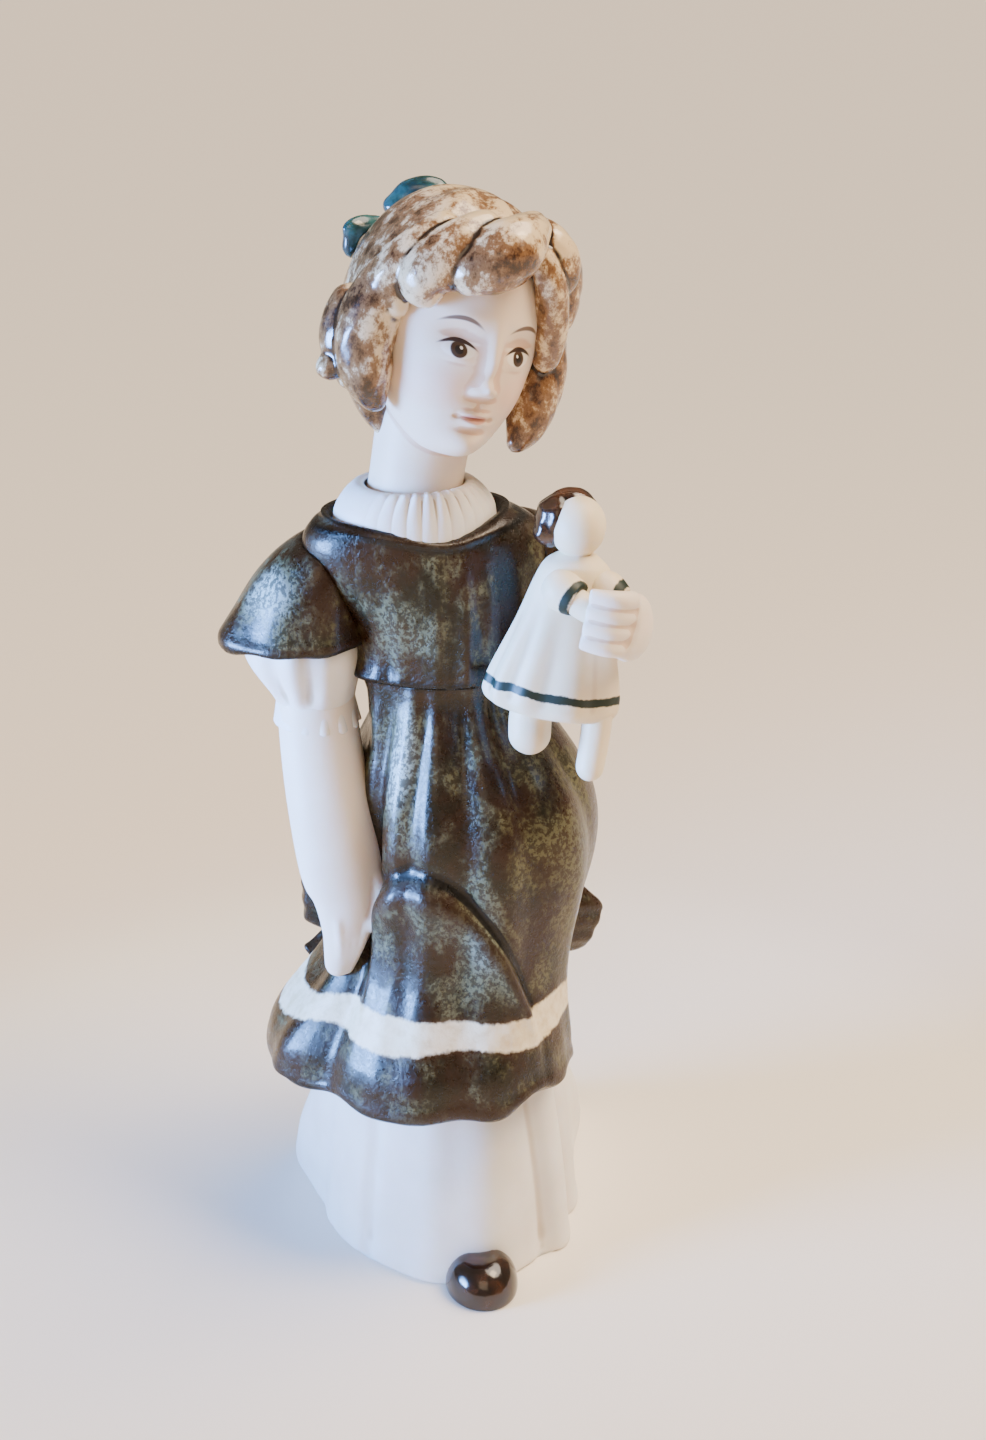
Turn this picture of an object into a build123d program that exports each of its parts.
"""Porcelain figurine of a girl who holds a doll, as the slip-cast pieces that are luted together.

Frame: millimetres, +Z up. The girl faces -Y and her right side is -X. The origin is the middle of
the figurine's bounding box, on the table. Every piece is cut to the ones it is stuck to, so that
two pieces meet face to face along their slip joint.
"""

from build123d import *
from math import cos, exp, radians, sin, sqrt
import os

# Heights of the body, stacked from the table up
UNDERSKIRT_SHOWN = 38.0  # table to the overskirt's hem
OVERSKIRT_LENGTH = 85.0  # hem to the waist seam
BODICE_HEIGHT = 31.0  # waist seam to the neckline
NECK_LENGTH = 12.5  # neckline to the chin
HEAD_HEIGHT = 44.0  # chin to crown, without hair

# Half widths and half depths of the body
FOOTPRINT_HALF_WIDTH = 27.0
FOOTPRINT_HALF_DEPTH = 29.0
HEM_HALF_WIDTH = 28.5
HEM_HALF_DEPTH = 32.5
HIP_HALF_WIDTH = 24.5
HIP_HALF_DEPTH = 25.0
WAIST_HALF_WIDTH = 17.5
WAIST_HALF_DEPTH = 15.0
SHOULDER_HALF_WIDTH = 23.5
SHOULDER_HALF_DEPTH = 13.5
NECKLINE_HALF_WIDTH = 16.2
NECKLINE_HALF_DEPTH = 12.5
NECK_RADIUS = 9.5
HEAD_HALF_WIDTH = 15.8
HEAD_HALF_DEPTH = 18.0

# How far each level is shifted towards her left (+X) by the way she stands
UNDERSKIRT_SHIFT = -1.5
HEM_SHIFT = -4.0
HIP_SHIFT = 2.5
WAIST_SHIFT = -0.5
SHOULDER_SHIFT = -5.0
NECK_SHIFT = -7.3
HEAD_SHIFT = -0.5

# The castings
WALL = 3.0
HEAD_WALL = 2.6
BASE_THICKNESS = 4.0
VENT_RADIUS = 4.0
LEDGE_HEIGHT = 5.0  # band of underskirt that is stuck inside the overskirt
NECK_TENON = 6.0  # length of neck that goes down into the bodice
NECK_BORE = 4.5  # radius of the hole that drains the head's hollow
HAIR_THICKNESS = 4.0
HAIR_TOP_THICKNESS = 2.6

# The tilt of the head and of the doll, in degrees
HEAD_LEAN = 14.0  # towards her left shoulder
HEAD_TURN = 12.0  # towards her left
DOLL_LEAN = 11.0
DOLL_TURN = -14.0

# The arms, sleeves and shoe
ARM_RADIUS = 6.5
WRIST_RADIUS = 5.2
FINGER_RADIUS = 1.5
SLEEVE_HALF_WIDTH = 13.0
SLEEVE_RIM = 1.8
UNDERSLEEVE_LENGTH = 13.0
FRILL_LENGTH = 4.5
HAND_LENGTH = 21.0
COLLAR_HEIGHT = 4.0
SHOE_HALF_WIDTH = 7.0
SHOE_HEIGHT = 8.0

# The doll
DOLL_HEAD_RADIUS = 5.6
DOLL_SKIRT_HALF_WIDTH = 12.6
DOLL_SKIRT_HALF_DEPTH = 8.2
DOLL_DRESS_LENGTH = 26.0
DOLL_LEG_RADIUS = 2.8
DOLL_ARM_RADIUS = 2.4

# The bows
SASH_BOW_SPAN = 64.0
SASH_LOOP_HEIGHT = 17.0
HAIR_BOW_SPAN = 25.0

HEM_Z = UNDERSKIRT_SHOWN
WAIST_Z = HEM_Z + OVERSKIRT_LENGTH
NECKLINE_Z = WAIST_Z + BODICE_HEIGHT
CHIN_Z = NECKLINE_Z + NECK_LENGTH
HEAD_Z = CHIN_Z + HEAD_HEIGHT / 2
HALF_HEAD = HEAD_HEIGHT / 2
LEDGE_Z = HEM_Z + 0.16 * OVERSKIRT_LENGTH
SHOULDER_Z = NECKLINE_Z - 0.25 * BODICE_HEIGHT
ARM_X = SHOULDER_SHIFT - SHOULDER_HALF_WIDTH
LEFT_ARM_X = SHOULDER_SHIFT + SHOULDER_HALF_WIDTH - 1.0
SLEEVE_Z = NECKLINE_Z - 0.8 * BODICE_HEIGHT
CUFF_Z = SLEEVE_Z - UNDERSLEEVE_LENGTH
WRIST_Z = HEM_Z + 0.51 * OVERSKIRT_LENGTH

HEAD = (
    Location((HEAD_SHIFT, -2.0, HEAD_Z))
    * Location((0, 0, 0), (0, HEAD_LEAN, 0))
    * Location((0, 0, 0), (0, 0, HEAD_TURN))
)
DOLL = (
    Location((HIP_SHIFT + 11.5, -SHOULDER_HALF_DEPTH - 0.85 * DOLL_SKIRT_HALF_DEPTH, WAIST_Z + 0.5))
    * Location((0, 0, 0), (0, DOLL_LEAN, 0))
    * Location((0, 0, 0), (0, 0, DOLL_TURN))
)
OUTLINE_POINTS = 20
BALL_LEVELS = 7
BALL_END = 0.965  # share of a ball's height where its flat pole is
pieces = {}


# ---- How the forms are made
def outline(z, shift, half_width, half_depth, swells=(), inset=0.0):
    """One level of a skirt: an ellipse with swells, each (angle in degrees, reach, spread)."""
    points = []
    for step in range(OUTLINE_POINTS):
        angle = 360 * step / OUTLINE_POINTS
        reach = -inset
        for middle, size, spread in swells:
            turn = (angle - middle + 180) % 360 - 180
            reach += size * exp(-((turn / spread) ** 2))
        x = (half_width + reach) * cos(radians(angle))
        y = (half_depth + reach) * sin(radians(angle))
        points.append((x + shift, y))
    with BuildSketch(Plane.XY.offset(z)) as level:
        with BuildLine():
            Spline(*points, periodic=True)
        make_face()
    return level.sketch


def skirt_form(levels, inset=0.0):
    """A solid that runs through outline levels, drawn in by inset for a hollow's core."""
    with BuildPart() as form:
        loft([outline(*level, inset=inset) for level in levels])
    return form.part


def oval_form(levels, inset=0.0):
    """A solid that runs through level ellipses (z, x, y, half width, half depth)."""
    sections = []
    for z, x, y, half_width, half_depth in levels:
        with BuildSketch(Plane.XY.offset(z)) as section:
            with Locations((x, y)):
                Ellipse(half_width - inset, half_depth - inset)
        sections.append(section.sketch)
    with BuildPart() as form:
        loft(sections)
    return form.part


def ball(x, y, z, half_width, half_depth, half_height):
    """An ellipsoid with small flat poles, which cuts and fuses more safely than a true one."""
    levels = []
    for i in range(BALL_LEVELS):
        share = BALL_END * (2 * i / (BALL_LEVELS - 1) - 1)
        round_off = sqrt(1 - share * share)
        levels.append((z + share * half_height, x, y, round_off * half_width, round_off * half_depth))
    return oval_form(levels)


def limb(*stations, side=(0, 0, 1)):
    """A rounded form along stations (x, y, z, half size across, half size towards side)."""
    centres = [Vector(*station[:3]) for station in stations]
    sections = []
    for i, (centre, station) in enumerate(zip(centres, stations)):
        ahead = centres[min(i + 1, len(centres) - 1)] - centres[max(i - 1, 0)]
        across = ahead.cross(Vector(*side))
        with BuildSketch(Plane(origin=centre, x_dir=across, z_dir=ahead)) as section:
            Ellipse(station[3], station[4])
        sections.append(section.sketch)
    with BuildPart() as form:
        loft(sections)
    return form.part


def cut_to(form, *neighbours):
    """What is left of a form, in one solid, when the forms it is stuck to are taken away."""
    with BuildPart() as piece:
        add(form)
        for neighbour in neighbours:
            add(neighbour, mode=Mode.SUBTRACT)
    return piece.part.solids().sort_by(SortBy.VOLUME)[-1]


def keep(name, solid):
    """Names a finished piece."""
    solid.label = name
    pieces[name] = solid
    return solid


# ---- Overskirt: a bell that is open at the hem, wide at her right where she pulls it out
PULL = 172.0  # angle of the corner that her right hand pulls out
overskirt_levels = [
    (HEM_Z, HEM_SHIFT, HEM_HALF_WIDTH - 1.5, HEM_HALF_DEPTH - 1.5, [(PULL, 6.0, 25)]),
    (HEM_Z + 4, HEM_SHIFT, HEM_HALF_WIDTH, HEM_HALF_DEPTH, [(PULL, 6.5, 25)]),
    (HEM_Z + 0.21 * OVERSKIRT_LENGTH, 0.5 * HEM_SHIFT, 0.9 * HEM_HALF_WIDTH, 0.88 * HEM_HALF_DEPTH,
     [(PULL, 2.0, 25)]),
    (HEM_Z + 0.45 * OVERSKIRT_LENGTH, HIP_SHIFT, HIP_HALF_WIDTH, 1.02 * HIP_HALF_DEPTH),
    (HEM_Z + 0.7 * OVERSKIRT_LENGTH, HIP_SHIFT, HIP_HALF_WIDTH, 0.94 * HIP_HALF_DEPTH),
    (WAIST_Z, WAIST_SHIFT, WAIST_HALF_WIDTH, WAIST_HALF_DEPTH),
]
overskirt_form = skirt_form(overskirt_levels)
overskirt_core = skirt_form(overskirt_levels, inset=WALL)
with BuildPart() as overskirt:
    add(overskirt_form)
    add(overskirt_core, mode=Mode.SUBTRACT)
keep("overskirt", overskirt.part.solids()[0])

# ---- Underskirt: a closed foot with a vent, and a ledge that fills the overskirt's inside
TRAIN = [(36, 15.0, 18), (140, 9.0, 18), (90, 6.0, 40), (268, 3.0, 30)]
underskirt_levels = [
    (0, UNDERSKIRT_SHIFT, FOOTPRINT_HALF_WIDTH, FOOTPRINT_HALF_DEPTH, TRAIN),
    (0.2 * HEM_Z, UNDERSKIRT_SHIFT, 0.98 * FOOTPRINT_HALF_WIDTH, 0.98 * FOOTPRINT_HALF_DEPTH, TRAIN),
    (0.9 * HEM_Z, UNDERSKIRT_SHIFT, 0.87 * FOOTPRINT_HALF_WIDTH, 0.84 * FOOTPRINT_HALF_DEPTH,
     [(36, 3.0, 18), (140, 3.0, 18)]),
    (LEDGE_Z, UNDERSKIRT_SHIFT, 0.74 * FOOTPRINT_HALF_WIDTH, 0.74 * FOOTPRINT_HALF_DEPTH),
]
underskirt_form = skirt_form(underskirt_levels)
with BuildPart() as ledge:
    add(overskirt_core)
    with BuildSketch(Plane.XY.offset(LEDGE_Z)):
        Circle(2 * HEM_HALF_WIDTH)
    extrude(amount=-LEDGE_HEIGHT, mode=Mode.INTERSECT)
with BuildPart() as underskirt_core:
    add(skirt_form(underskirt_levels, inset=WALL))
    split(bisect_by=Plane.XY.offset(BASE_THICKNESS), keep=Keep.TOP)
with BuildPart() as underskirt:
    add(underskirt_form)
    add(ledge.part)
    add(underskirt_core.part, mode=Mode.SUBTRACT)
    add(overskirt.part, mode=Mode.SUBTRACT)
    with BuildSketch(Plane.XY):
        with Locations((UNDERSKIRT_SHIFT, 0)):
            Circle(VENT_RADIUS)
    extrude(amount=BASE_THICKNESS, mode=Mode.SUBTRACT)
keep("underskirt", underskirt.part.solids()[0])

# ---- Bodice, head and neck: the neck's tenon goes down through the bodice's closed neckline
bodice_levels = [
    (WAIST_Z, WAIST_SHIFT, 0, WAIST_HALF_WIDTH, WAIST_HALF_DEPTH),
    (WAIST_Z + 0.5 * BODICE_HEIGHT, 0.5 * SHOULDER_SHIFT, 0, 0.9 * SHOULDER_HALF_WIDTH,
     1.1 * SHOULDER_HALF_DEPTH),
    (WAIST_Z + 0.8 * BODICE_HEIGHT, SHOULDER_SHIFT, 0, SHOULDER_HALF_WIDTH, SHOULDER_HALF_DEPTH),
    (NECKLINE_Z, NECK_SHIFT, 0, NECKLINE_HALF_WIDTH, NECKLINE_HALF_DEPTH),
]
bodice_form = oval_form(bodice_levels)
with BuildPart() as bodice_core:
    add(oval_form(bodice_levels, inset=WALL))
    split(bisect_by=Plane.XY.offset(NECKLINE_Z - WALL), keep=Keep.BOTTOM)
skull_levels = [
    (-0.96 * HALF_HEAD, 0, -0.42 * HEAD_HALF_DEPTH, 0.3 * HEAD_HALF_WIDTH, 0.3 * HEAD_HALF_DEPTH),
    (-0.75 * HALF_HEAD, 0, -0.26 * HEAD_HALF_DEPTH, 0.6 * HEAD_HALF_WIDTH, 0.62 * HEAD_HALF_DEPTH),
    (-0.4 * HALF_HEAD, 0, -0.06 * HEAD_HALF_DEPTH, 0.88 * HEAD_HALF_WIDTH, 0.88 * HEAD_HALF_DEPTH),
    (0.1 * HALF_HEAD, 0, 0, HEAD_HALF_WIDTH, HEAD_HALF_DEPTH),
    (0.55 * HALF_HEAD, 0, 0, 0.86 * HEAD_HALF_WIDTH, 0.88 * HEAD_HALF_DEPTH),
    (0.96 * HALF_HEAD, 0, 0.04 * HEAD_HALF_DEPTH, 0.34 * HEAD_HALF_WIDTH, 0.36 * HEAD_HALF_DEPTH),
]
skull = oval_form(skull_levels).moved(HEAD)
neck = limb(
    (NECK_SHIFT, 0, NECKLINE_Z - NECK_TENON, NECK_RADIUS, NECK_RADIUS),
    (NECK_SHIFT, 0, NECKLINE_Z, NECK_RADIUS, NECK_RADIUS),
    (0.92 * NECK_SHIFT, 0, 0.5 * (NECKLINE_Z + CHIN_Z), 0.95 * NECK_RADIUS, 0.95 * NECK_RADIUS),
    (0.6 * NECK_SHIFT, 1, CHIN_Z + 0.25 * HEAD_HEIGHT, 0.95 * NECK_RADIUS, 0.95 * NECK_RADIUS),
    side=(0, 1, 0),
)
with BuildPart() as bodice:
    add(bodice_form)
    add(bodice_core.part, mode=Mode.SUBTRACT)
    add(neck, mode=Mode.SUBTRACT)
keep("bodice", bodice.part.solids()[0])
with BuildPart() as head:
    add(skull)
    add(neck)
    add(oval_form(skull_levels, inset=HEAD_WALL).moved(HEAD), mode=Mode.SUBTRACT)
    add(
        limb(
            (NECK_SHIFT, 0, NECKLINE_Z - NECK_TENON, NECK_BORE, NECK_BORE),
            (NECK_SHIFT, 0, NECKLINE_Z, NECK_BORE, NECK_BORE),
            (0.92 * NECK_SHIFT, 0, 0.5 * (NECKLINE_Z + CHIN_Z), NECK_BORE, NECK_BORE),
            (0.6 * NECK_SHIFT, 1, CHIN_Z + 0.25 * HEAD_HEIGHT, NECK_BORE, NECK_BORE),
            side=(0, 1, 0),
        ),
        mode=Mode.SUBTRACT,
    )
keep("head", head.part.solids().sort_by(SortBy.VOLUME)[-1])

with BuildPart() as collar_form:
    add(
        oval_form([
            (NECKLINE_Z, NECK_SHIFT, -0.5, 0.9 * NECKLINE_HALF_WIDTH, 0.94 * NECKLINE_HALF_DEPTH),
            (NECKLINE_Z + 0.45 * COLLAR_HEIGHT, NECK_SHIFT, -0.5, 0.86 * NECKLINE_HALF_WIDTH,
             0.9 * NECKLINE_HALF_DEPTH),
            (NECKLINE_Z + COLLAR_HEIGHT, 0.95 * NECK_SHIFT, 0, 1.12 * NECK_RADIUS, 1.12 * NECK_RADIUS),
        ])
    )
keep("collar_frill", cut_to(collar_form.part, neck, skull))

# ---- Right arm, which hangs to the overskirt she holds out
wrist = (ARM_X + 0.6 * ARM_RADIUS, 1.5, WRIST_Z)
right_arm_form = limb(
    (ARM_X + 2, 4, SLEEVE_Z + 4, ARM_RADIUS, ARM_RADIUS),
    (ARM_X + 2, 3.5, CUFF_Z, ARM_RADIUS, ARM_RADIUS),
    (ARM_X + 2.5, 2, 0.5 * (CUFF_Z + WRIST_Z), ARM_RADIUS, 1.03 * ARM_RADIUS),
    (*wrist, 1.1 * WRIST_RADIUS, WRIST_RADIUS),
    side=(1, 0, 0),
)
right_cap_form = oval_form([
    (NECKLINE_Z - 3, ARM_X + 7, 2, 0.2 * SLEEVE_HALF_WIDTH, 0.3 * SLEEVE_HALF_WIDTH),
    (SHOULDER_Z, ARM_X + 3.5, 3, 0.56 * SLEEVE_HALF_WIDTH, 0.68 * SLEEVE_HALF_WIDTH),
    (0.5 * (SHOULDER_Z + SLEEVE_Z), ARM_X + 0.5, 4, 0.88 * SLEEVE_HALF_WIDTH, 0.9 * SLEEVE_HALF_WIDTH),
    (SLEEVE_Z, ARM_X - 1, 4, 1.05 * SLEEVE_HALF_WIDTH, SLEEVE_HALF_WIDTH),
])
right_undersleeve_form = oval_form([
    (SLEEVE_Z + 3, ARM_X, 4, SLEEVE_HALF_WIDTH - SLEEVE_RIM - 2, SLEEVE_HALF_WIDTH - SLEEVE_RIM - 2),
    (SLEEVE_Z - 2, ARM_X, 4, SLEEVE_HALF_WIDTH - SLEEVE_RIM, SLEEVE_HALF_WIDTH - SLEEVE_RIM),
    (CUFF_Z + 3, ARM_X + 1.5, 3.5, 1.3 * ARM_RADIUS, 1.3 * ARM_RADIUS),
    (CUFF_Z, ARM_X + 2, 3.5, 1.12 * ARM_RADIUS, 1.12 * ARM_RADIUS),
])
right_frill_form = oval_form([
    (CUFF_Z, ARM_X + 2, 3.5, 1.2 * ARM_RADIUS, 1.2 * ARM_RADIUS),
    (CUFF_Z - 0.5 * FRILL_LENGTH, ARM_X + 2, 3.5, 1.35 * ARM_RADIUS, 1.35 * ARM_RADIUS),
    (CUFF_Z - FRILL_LENGTH, ARM_X + 2.2, 3.3, 1.3 * ARM_RADIUS, 1.3 * ARM_RADIUS),
])
body = [bodice_form, overskirt_form]
keep("right_arm", cut_to(right_arm_form, *body))
keep("right_undersleeve", cut_to(right_undersleeve_form, right_arm_form, *body))
keep("right_cap_sleeve", cut_to(right_cap_form, right_undersleeve_form, right_arm_form, *body))
keep("right_sleeve_frill", cut_to(right_frill_form, right_undersleeve_form, right_arm_form, *body))
with BuildPart() as right_hand:
    add(
        limb(
            (*wrist, 1.1 * WRIST_RADIUS, WRIST_RADIUS),
            (wrist[0], -0.5, WRIST_Z - 0.3 * HAND_LENGTH, 1.2 * WRIST_RADIUS, 0.95 * WRIST_RADIUS),
            (wrist[0], -2, WRIST_Z - 0.65 * HAND_LENGTH, 1.05 * WRIST_RADIUS, 0.8 * WRIST_RADIUS),
            (wrist[0] - 1, -2, WRIST_Z - HAND_LENGTH, 0.5 * WRIST_RADIUS, 0.5 * WRIST_RADIUS),
            side=(1, 0, 0),
        )
    )
    add(
        limb(
            (wrist[0] + 3, -1, WRIST_Z - 2, 1.6 * FINGER_RADIUS, 1.6 * FINGER_RADIUS),
            (wrist[0] + 6, -4, WRIST_Z - 6, 1.5 * FINGER_RADIUS, 1.5 * FINGER_RADIUS),
            (wrist[0] + 6, -6, WRIST_Z - 0.55 * HAND_LENGTH, FINGER_RADIUS, FINGER_RADIUS),
            side=(1, 0, 0),
        )
    )
keep("right_hand", cut_to(right_hand.part, right_arm_form, *body))

# ---- Doll: it hangs over her left arm with its back to her
dress_form = oval_form([
    (0, 0, 0, DOLL_SKIRT_HALF_WIDTH, DOLL_SKIRT_HALF_DEPTH),
    (0.14 * DOLL_DRESS_LENGTH, 0, 0, 0.97 * DOLL_SKIRT_HALF_WIDTH, 0.97 * DOLL_SKIRT_HALF_DEPTH),
    (0.5 * DOLL_DRESS_LENGTH, 0, 0, 0.74 * DOLL_SKIRT_HALF_WIDTH, 0.82 * DOLL_SKIRT_HALF_DEPTH),
    (0.82 * DOLL_DRESS_LENGTH, 0, 0, 0.56 * DOLL_SKIRT_HALF_WIDTH, 0.66 * DOLL_SKIRT_HALF_DEPTH),
    (DOLL_DRESS_LENGTH, 0, 0, 0.3 * DOLL_SKIRT_HALF_WIDTH, 0.4 * DOLL_SKIRT_HALF_DEPTH),
])
doll_head_z = DOLL_DRESS_LENGTH + 0.85 * DOLL_HEAD_RADIUS
doll_head_form = ball(0, 0, doll_head_z, DOLL_HEAD_RADIUS, DOLL_HEAD_RADIUS, 1.1 * DOLL_HEAD_RADIUS)
doll_hair_form = ball(
    -0.2 * DOLL_HEAD_RADIUS, 0.35 * DOLL_HEAD_RADIUS, doll_head_z + 0.25 * DOLL_HEAD_RADIUS,
    1.15 * DOLL_HEAD_RADIUS, 1.1 * DOLL_HEAD_RADIUS, 1.15 * DOLL_HEAD_RADIUS,
)
sleeve_top = 0.8 * DOLL_DRESS_LENGTH
right_doll_arm_form = limb(
    (-0.5, -6.5, 0.93 * sleeve_top, DOLL_ARM_RADIUS, DOLL_ARM_RADIUS),
    (2.5, -8, 0.88 * sleeve_top, DOLL_ARM_RADIUS, DOLL_ARM_RADIUS),
    (6, -9, 0.85 * sleeve_top, 0.9 * DOLL_ARM_RADIUS, 0.9 * DOLL_ARM_RADIUS),
)
right_doll_sleeve_form = limb(
    (-4, -3, sleeve_top, 1.1 * DOLL_ARM_RADIUS, 1.1 * DOLL_ARM_RADIUS),
    (-2, -5.5, 0.96 * sleeve_top, 1.4 * DOLL_ARM_RADIUS, 1.4 * DOLL_ARM_RADIUS),
    (0.5, -7, 0.93 * sleeve_top, 1.3 * DOLL_ARM_RADIUS, 1.3 * DOLL_ARM_RADIUS),
)
left_doll_sleeve_form = limb(
    (3.5, -2, 1.02 * sleeve_top, 1.1 * DOLL_ARM_RADIUS, 1.1 * DOLL_ARM_RADIUS),
    (6.5, -3.5, sleeve_top, 1.3 * DOLL_ARM_RADIUS, 1.3 * DOLL_ARM_RADIUS),
    (8.5, -4.5, 0.96 * sleeve_top, 1.1 * DOLL_ARM_RADIUS, 1.1 * DOLL_ARM_RADIUS),
)


def doll_leg(x, length):
    """A leg with its shoe, from inside the doll's skirt down."""
    return limb(
        (x, -1, 3, DOLL_LEG_RADIUS, DOLL_LEG_RADIUS),
        (x, -2, -0.6 * length, 0.9 * DOLL_LEG_RADIUS, 0.9 * DOLL_LEG_RADIUS),
        (x + 0.5, -3, -length, 1.15 * DOLL_LEG_RADIUS, 1.3 * DOLL_LEG_RADIUS),
        side=(1, 0, 0),
    )


doll_dress_form = dress_form.moved(DOLL)
doll_head_form = doll_head_form.moved(DOLL)
doll_hair_form = doll_hair_form.moved(DOLL)
doll_right_arm_form = right_doll_arm_form.moved(DOLL)
doll_right_sleeve_form = right_doll_sleeve_form.moved(DOLL)
doll_left_sleeve_form = left_doll_sleeve_form.moved(DOLL)
doll_right_leg_form = doll_leg(-0.36 * DOLL_SKIRT_HALF_WIDTH, 0.45 * DOLL_DRESS_LENGTH).moved(DOLL)
doll_left_leg_form = doll_leg(0.52 * DOLL_SKIRT_HALF_WIDTH, 0.55 * DOLL_DRESS_LENGTH).moved(DOLL)

# ---- Left arm, which bends forward round the doll
elbow = (LEFT_ARM_X + 1.5, 12, CUFF_Z + 3)
wrist_at = (DOLL * Location((0.85 * DOLL_SKIRT_HALF_WIDTH, 0, 0.4 * DOLL_DRESS_LENGTH))).position
left_wrist = (wrist_at.X, wrist_at.Y, wrist_at.Z)
upper_arm_form = limb(
    (LEFT_ARM_X - 1, 3, SLEEVE_Z + 4, ARM_RADIUS, ARM_RADIUS),
    (LEFT_ARM_X, 8, 0.5 * (SLEEVE_Z + CUFF_Z), ARM_RADIUS, ARM_RADIUS),
    (*elbow, 0.86 * ARM_RADIUS, 0.86 * ARM_RADIUS),
    side=(1, 0, 0),
)
forearm_form = limb(
    (*elbow, 0.84 * ARM_RADIUS, 0.84 * ARM_RADIUS),
    (0.5 * (elbow[0] + left_wrist[0]), 0.5 * (elbow[1] + left_wrist[1]), 0.5 * (elbow[2] + left_wrist[2]),
     0.95 * ARM_RADIUS, 0.95 * ARM_RADIUS),
    (*left_wrist, WRIST_RADIUS, WRIST_RADIUS),
)
with BuildPart() as left_arm:
    add(upper_arm_form)
    add(forearm_form)
    add(ball(*elbow, 1.06 * ARM_RADIUS, 1.06 * ARM_RADIUS, 1.06 * ARM_RADIUS))
left_cap_form = oval_form([
    (NECKLINE_Z - 3, LEFT_ARM_X - 6, 2, 0.25 * SLEEVE_HALF_WIDTH, 0.3 * SLEEVE_HALF_WIDTH),
    (SHOULDER_Z, LEFT_ARM_X - 3, 2.5, 0.66 * SLEEVE_HALF_WIDTH, 0.72 * SLEEVE_HALF_WIDTH),
    (0.5 * (SHOULDER_Z + SLEEVE_Z), LEFT_ARM_X - 1.5, 3.5, 0.78 * SLEEVE_HALF_WIDTH, 0.84 * SLEEVE_HALF_WIDTH),
    (SLEEVE_Z, LEFT_ARM_X - 1, 5, 0.84 * SLEEVE_HALF_WIDTH, 0.88 * SLEEVE_HALF_WIDTH),
])
left_undersleeve_form = oval_form([
    (SLEEVE_Z + 3, LEFT_ARM_X - 1, 5, 0.6 * SLEEVE_HALF_WIDTH, 0.64 * SLEEVE_HALF_WIDTH),
    (SLEEVE_Z - 2, LEFT_ARM_X - 0.5, 6, 0.72 * SLEEVE_HALF_WIDTH, 0.76 * SLEEVE_HALF_WIDTH),
    (CUFF_Z + 8, LEFT_ARM_X, 8, 1.1 * ARM_RADIUS, 1.1 * ARM_RADIUS),
])
keep("left_arm", cut_to(left_arm.part, doll_dress_form, *body))
keep("left_undersleeve", cut_to(left_undersleeve_form, left_arm.part, doll_dress_form, *body))
keep("left_cap_sleeve",
     cut_to(left_cap_form, left_undersleeve_form, left_arm.part, doll_dress_form, *body))
fingers = []
for row in range(4):
    z = (0.36 + 0.115 * row) * DOLL_DRESS_LENGTH
    fingers.append(
        limb(
            (0.86 * DOLL_SKIRT_HALF_WIDTH, -7.5, z, 1.15 * FINGER_RADIUS, 1.15 * FINGER_RADIUS),
            (0.55 * DOLL_SKIRT_HALF_WIDTH, -11, z + 0.4, 1.1 * FINGER_RADIUS, 1.1 * FINGER_RADIUS),
            (0.2 * DOLL_SKIRT_HALF_WIDTH, -10.5, z + 0.4, 0.8 * FINGER_RADIUS, 0.8 * FINGER_RADIUS),
        ).moved(DOLL)
    )
with BuildPart() as left_hand:
    add(
        limb(
            (0.85 * DOLL_SKIRT_HALF_WIDTH, 0, 0.4 * DOLL_DRESS_LENGTH, WRIST_RADIUS, WRIST_RADIUS),
            (0.95 * DOLL_SKIRT_HALF_WIDTH, -4, 0.47 * DOLL_DRESS_LENGTH, 0.75 * WRIST_RADIUS,
             1.2 * WRIST_RADIUS),
            (0.82 * DOLL_SKIRT_HALF_WIDTH, -9, 0.52 * DOLL_DRESS_LENGTH, 0.45 * WRIST_RADIUS,
             1.1 * WRIST_RADIUS),
        ).moved(DOLL)
    )
    for finger in fingers:
        add(finger)
doll_body = [doll_dress_form, *body]
keep("left_hand", cut_to(left_hand.part, left_arm.part, *doll_body))
girl_left = [left_arm.part, left_hand.part, left_cap_form, left_undersleeve_form]
keep("doll_dress", cut_to(doll_dress_form, *body))
keep("doll_head", cut_to(doll_head_form, *doll_body, *girl_left))
keep("doll_hair", cut_to(doll_hair_form, doll_head_form, *doll_body, *girl_left))
doll_top = [doll_head_form, doll_hair_form, *doll_body, *girl_left]
keep("doll_right_arm", cut_to(doll_right_arm_form, *doll_top))
keep("doll_right_sleeve", cut_to(doll_right_sleeve_form, doll_right_arm_form, *doll_top))
keep("doll_left_sleeve", cut_to(doll_left_sleeve_form, doll_right_arm_form, *doll_top))
keep("doll_right_leg", cut_to(doll_right_leg_form, *doll_body, *girl_left))
keep("doll_left_leg", cut_to(doll_left_leg_form, *doll_body, *girl_left))


# ---- Hair, in shares of the head's half sizes
def on_head(*stations):
    """A lock of hair along stations (x, y, z, half thickness), all shares of the head's sizes."""
    return limb(
        *[
            (
                x * HEAD_HALF_WIDTH, y * HEAD_HALF_DEPTH, z * HALF_HEAD,
                thick * HEAD_HALF_WIDTH, thick * HEAD_HALF_WIDTH,
            )
            for x, y, z, thick in stations
        ],
        side=(0, 1, 0.01),
    ).moved(HEAD)


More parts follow.
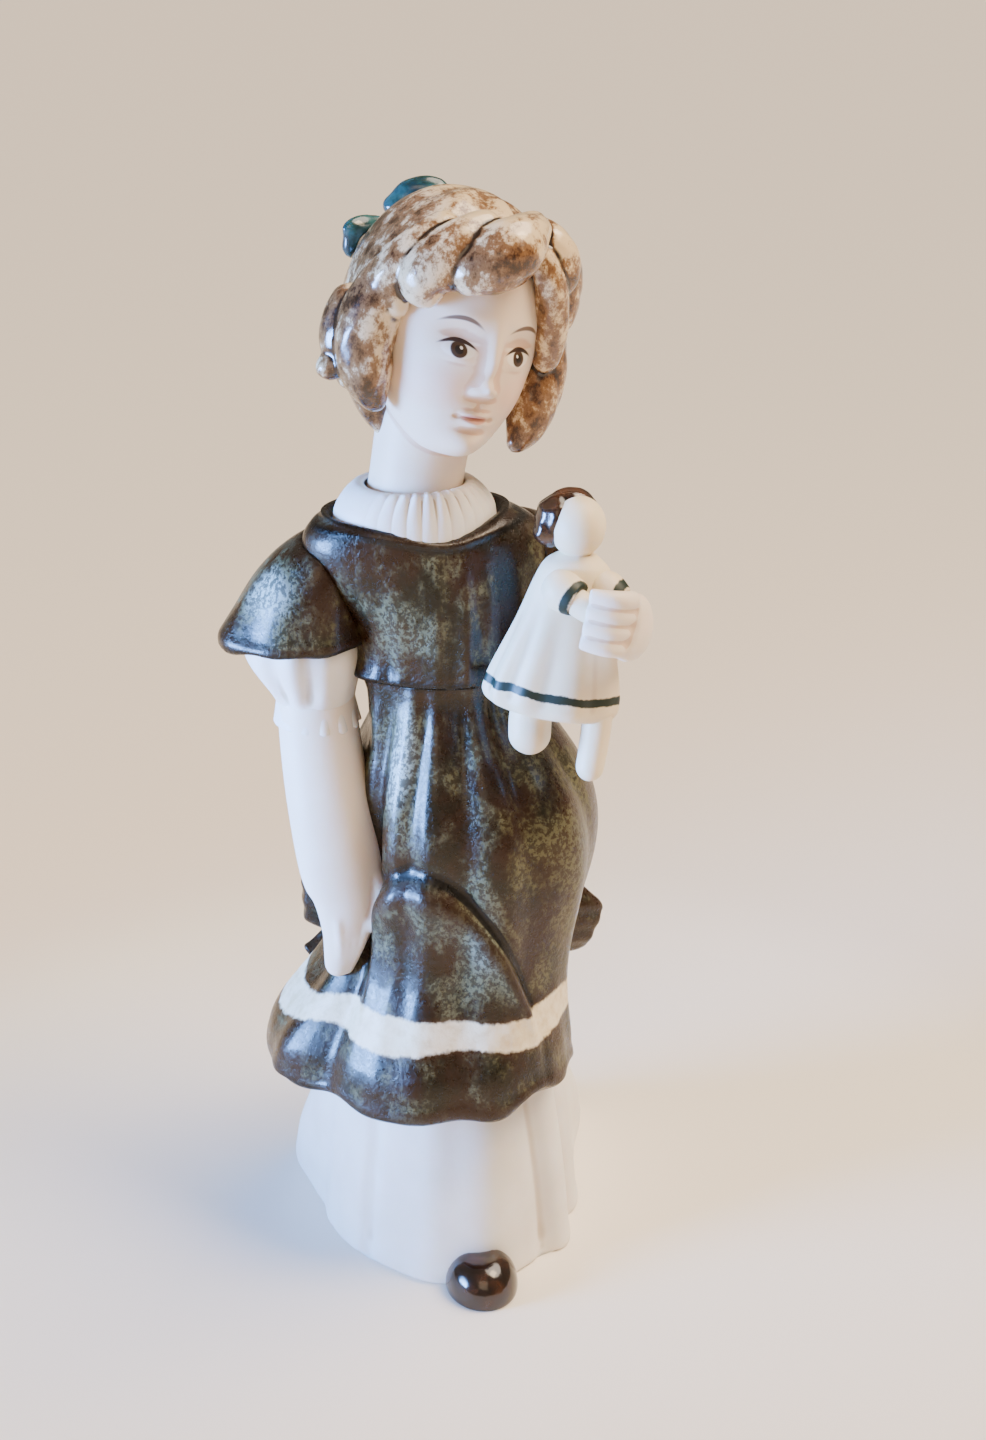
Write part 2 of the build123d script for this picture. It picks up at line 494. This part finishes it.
with BuildPart() as face_opening:
    with BuildSketch(Plane.YZ):
        with BuildLine():
            Polyline(
                (-3 * HEAD_HALF_DEPTH, 0.66 * HALF_HEAD),
                (-0.5 * HEAD_HALF_DEPTH, 0.66 * HALF_HEAD),
                (-0.2 * HEAD_HALF_DEPTH, 0),
                (0.15 * HEAD_HALF_DEPTH, -0.55 * HALF_HEAD),
                (0.15 * HEAD_HALF_DEPTH, -2 * HALF_HEAD),
                (-3 * HEAD_HALF_DEPTH, -2 * HALF_HEAD),
                close=True,
            )
        make_face()
    extrude(amount=2 * HEAD_HALF_WIDTH, both=True)
crown_form = ball(
    0, 0.1 * HEAD_HALF_DEPTH, 0, HEAD_HALF_WIDTH + HAIR_THICKNESS,
    HEAD_HALF_DEPTH + HAIR_THICKNESS, HALF_HEAD + HAIR_TOP_THICKNESS,
).moved(HEAD)
opening = face_opening.part.moved(HEAD)
flesh = [skull, neck]
with BuildPart() as crown:
    add(crown_form)
    add(opening, mode=Mode.SUBTRACT)
crown_shape = crown.part
keep("hair_crown", cut_to(crown_shape, *flesh))
fringe_form = on_head(
    (0.3, -0.6, 0.93, 0.18), (-0.15, -1.02, 0.8, 0.34), (-0.75, -0.86, 0.5, 0.36),
    (-1.0, -0.55, 0.38, 0.26), (-1.1, -0.3, 0.3, 0.16),
)
right_curl_form = on_head(
    (-0.85, -0.5, 0.62, 0.2), (-1.1, -0.3, 0.2, 0.31), (-1.14, -0.22, -0.2, 0.34),
    (-1.02, -0.28, -0.52, 0.28), (-0.86, -0.33, -0.72, 0.15),
)
flick_form = on_head((-1.2, 0.1, 0.1, 0.2), (-1.24, 0.06, -0.42, 0.24), (-1.44, 0.0, -0.55, 0.14))
left_upper_form = on_head(
    (0.3, -0.55, 0.95, 0.16), (0.66, -0.62, 0.8, 0.3), (0.92, -0.4, 0.5, 0.37),
    (1.0, -0.34, 0.12, 0.28), (1.0, -0.36, -0.08, 0.2),
)
left_lower_form = on_head(
    (0.98, -0.36, 0.08, 0.22), (1.1, -0.38, -0.3, 0.3), (1.04, -0.44, -0.65, 0.28),
    (0.97, -0.48, -0.84, 0.17),
)
nape_form = ball(
    0, 0.78 * HEAD_HALF_DEPTH, -0.36 * HALF_HEAD, 0.95 * HEAD_HALF_WIDTH,
    0.52 * HEAD_HALF_DEPTH, 0.6 * HALF_HEAD,
).moved(HEAD)
below = [neck, bodice_form, collar_form.part]
keep("nape_hair", cut_to(nape_form, crown_shape, skull, *below))
keep("fringe_roll", cut_to(fringe_form, crown_shape, skull))
keep("right_side_curl", cut_to(right_curl_form, fringe_form, crown_shape, nape_form, skull, *below))
keep("right_flick_curl",
     cut_to(flick_form, right_curl_form, fringe_form, crown_shape, nape_form, skull, *below))
keep("left_upper_curl", cut_to(left_upper_form, fringe_form, crown_shape, nape_form, skull))
keep("left_lower_curl",
     cut_to(left_lower_form, left_upper_form, crown_shape, nape_form, skull, *below))

# ---- Bows: one at the back of the hair, one at the back of the sash
def bow_loop(knot, tip, knot_half, loop_half, thickness):
    """A loop of a bow, from inside its knot out to its rounded tip."""
    middle = [0.55 * near + 0.45 * far for near, far in zip(knot, tip)]
    late = [0.2 * near + 0.8 * far for near, far in zip(knot, tip)]
    return limb(
        (*knot, 0.5 * thickness, knot_half),
        (*middle, thickness, 0.85 * loop_half),
        (*late, thickness, loop_half),
        (*tip, 0.4 * thickness, 0.6 * loop_half),
    )


half_span = HAIR_BOW_SPAN / 2
bow_y = 1.16 * HEAD_HALF_DEPTH
bow_z = 0.62 * HALF_HEAD
hair_knot_form = ball(-4, bow_y, bow_z, 3.4, 3.2, 3.4).moved(HEAD)
hair_loop_right_form = bow_loop(
    (-4, bow_y, bow_z), (-4 - half_span, bow_y - 4, bow_z - 5), 2.2, 4.6, 2.4
).moved(HEAD)
hair_loop_left_form = bow_loop(
    (-4, bow_y, bow_z), (-4 + half_span, bow_y - 5, bow_z + 7), 2.2, 4.6, 2.4
).moved(HEAD)
keep("hair_bow_knot", cut_to(hair_knot_form, crown_shape, nape_form))
keep("hair_bow_right_loop", cut_to(hair_loop_right_form, hair_knot_form, crown_shape, nape_form))
keep("hair_bow_left_loop", cut_to(hair_loop_left_form, hair_knot_form, crown_shape, nape_form))

sash_y = HEM_HALF_DEPTH - 3.5
sash_z = HEM_Z + 0.27 * OVERSKIRT_LENGTH
knot_at = (4, sash_y, sash_z)
sash_knot_form = ball(*knot_at, 5.0, 4.6, 5.4)
sash_left_form = bow_loop(
    knot_at, (4 + 0.53 * SASH_BOW_SPAN, sash_y - 4, sash_z - 14), 3.6, SASH_LOOP_HEIGHT / 2, 4.0
)
sash_right_form = bow_loop(
    knot_at, (4 - 0.47 * SASH_BOW_SPAN, sash_y + 1, sash_z - 1), 3.6, SASH_LOOP_HEIGHT / 2, 4.0
)
tail_right_form = limb(
    (*knot_at, 2.4, 2.6),
    (-10, sash_y + 3, sash_z - 9, 2.2, 4.6),
    (-24, sash_y + 2, sash_z - 17, 1.8, 4.6),
)
tail_left_form = limb(
    (*knot_at, 2.6, 2.4),
    (8, sash_y + 5, sash_z - 10, 4.4, 2.2),
    (12, sash_y + 6, sash_z - 20, 4.6, 1.8),
    side=(0, 1, 0),
)
back = [overskirt_form, underskirt_form]
keep("sash_bow_knot", cut_to(sash_knot_form, *back))
keep("sash_bow_left_loop", cut_to(sash_left_form, sash_knot_form, *back))
keep("sash_bow_right_loop", cut_to(sash_right_form, sash_knot_form, *back))
loops = [sash_knot_form, sash_left_form, sash_right_form]
keep("sash_tail_left", cut_to(tail_left_form, *loops, *back))
keep("sash_tail_right", cut_to(tail_right_form, tail_left_form, *loops, *back))

# ---- Shoe: the toe that shows at the front of the underskirt
shoe_x = UNDERSKIRT_SHIFT - 1.5
shoe_y = -FOOTPRINT_HALF_DEPTH - 3.0
shoe_form = oval_form([
    (0, shoe_x, shoe_y, SHOE_HALF_WIDTH, 1.2 * SHOE_HALF_WIDTH),
    (0.35 * SHOE_HEIGHT, shoe_x, shoe_y, SHOE_HALF_WIDTH, 1.2 * SHOE_HALF_WIDTH),
    (0.8 * SHOE_HEIGHT, shoe_x, shoe_y, 0.75 * SHOE_HALF_WIDTH, 0.9 * SHOE_HALF_WIDTH),
    (SHOE_HEIGHT, shoe_x, shoe_y + 1, 0.35 * SHOE_HALF_WIDTH, 0.45 * SHOE_HALF_WIDTH),
])
keep("shoe", cut_to(shoe_form, underskirt_form))

# ---- The bounding box is centred on the origin, and the parts are written
extents = Compound(list(pieces.values())).bounding_box()
centring = Location((-extents.center().X, -extents.center().Y, -extents.min.Z))
os.makedirs("parts", exist_ok=True)
for name, solid in pieces.items():
    placed = solid.moved(centring)
    placed.label = name
    export_step(placed, "parts/" + name + ".step")
